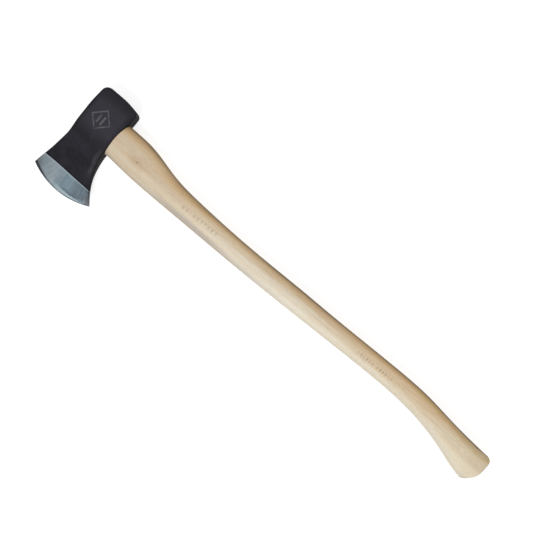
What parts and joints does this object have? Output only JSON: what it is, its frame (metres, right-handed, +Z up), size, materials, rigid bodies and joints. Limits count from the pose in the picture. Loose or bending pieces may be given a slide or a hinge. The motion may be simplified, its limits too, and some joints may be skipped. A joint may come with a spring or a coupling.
{
  "type": "felling axe",
  "caption": "Long-handled axe: a forged single-bit head with a flat poll, wedged on a curved wooden handle that swells at the grip, for felling and splitting wood.",
  "frame": {"origin": "middle of the box around the whole axe, at the height of the surface it lies on", "axes": "+X along the handle from the head to the knob, +Y from the cutting edge towards the poll, +Z up through the cheek the axe lies on"},
  "size_m": [0.9194, 0.1932, 0.0335],
  "materials": {
    "painted_steel": "satin near-black paint over forged steel, ground bare steel towards the edge",
    "hickory": "pale hickory, sanded and clear-lacquered, grain along the handle",
    "wedge_wood": "sawn hardwood end grain, darker than the handle",
    "bright_steel": "plain mild steel, dull, with hammer marks"
  },
  "bodies": {
    "root": {"axe_head": "painted_steel", "handle": "hickory", "wood_wedge": "wedge_wood", "steel_wedge_front": "bright_steel", "steel_wedge_rear": "bright_steel"}
  },
  "joints": []
}
